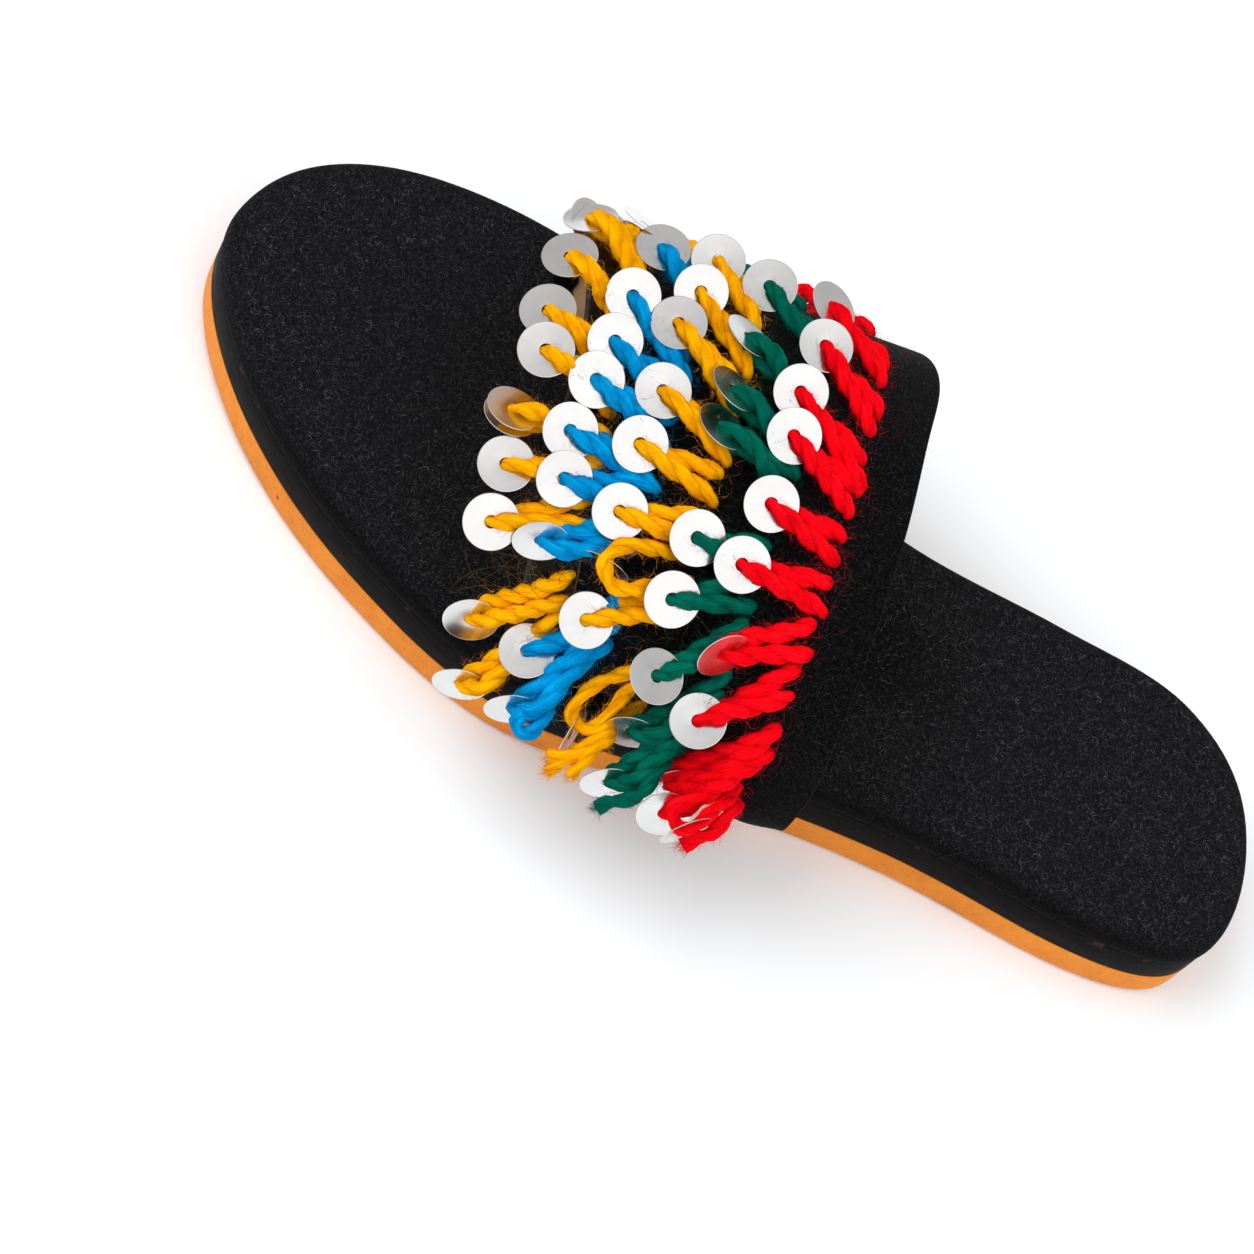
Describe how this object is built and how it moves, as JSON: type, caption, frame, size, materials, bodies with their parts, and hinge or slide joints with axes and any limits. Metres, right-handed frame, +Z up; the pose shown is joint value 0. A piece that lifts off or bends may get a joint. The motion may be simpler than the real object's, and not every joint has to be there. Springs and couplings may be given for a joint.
{
  "type": "slide sandal",
  "caption": "Flat open-toe slide sandal with a layered rubber sole, suede footbed and one arched strap set with looped yarn fringe and silver sequins.",
  "frame": {"origin": "on the floor under the middle of the sole's length, on the line from heel tip to toe tip", "axes": "+X to the medial (big toe) side, +Y to the toe, +Z up"},
  "size_m": [0.1197, 0.255, 0.086],
  "materials": {
    "outsole_rubber": "satin tan crepe rubber with fine pits",
    "midsole_rubber": "matt black rubber, lightly rubbed",
    "footbed_suede": "black suede cloth with short pale fibres",
    "strap_suede": "black suede outside, beige leather lining inside",
    "binding_leather": "smooth black leather with a satin gloss",
    "yarn_red": "fuzzy twisted wool yarn with silver sequins",
    "yarn_green": "fuzzy twisted wool yarn with silver sequins",
    "yarn_gold": "fuzzy twisted wool yarn with silver sequins",
    "yarn_blue": "fuzzy twisted wool yarn with silver sequins"
  },
  "bodies": {
    "root": {"outsole": "outsole_rubber", "midsole": "midsole_rubber", "insole": "footbed_suede", "strap": "strap_suede", "toe_binding": "binding_leather", "fringe_red": "yarn_red", "fringe_green": "yarn_green", "fringe_gold_back": "yarn_gold", "fringe_blue": "yarn_blue", "fringe_gold_front": "yarn_gold"}
  },
  "joints": []
}
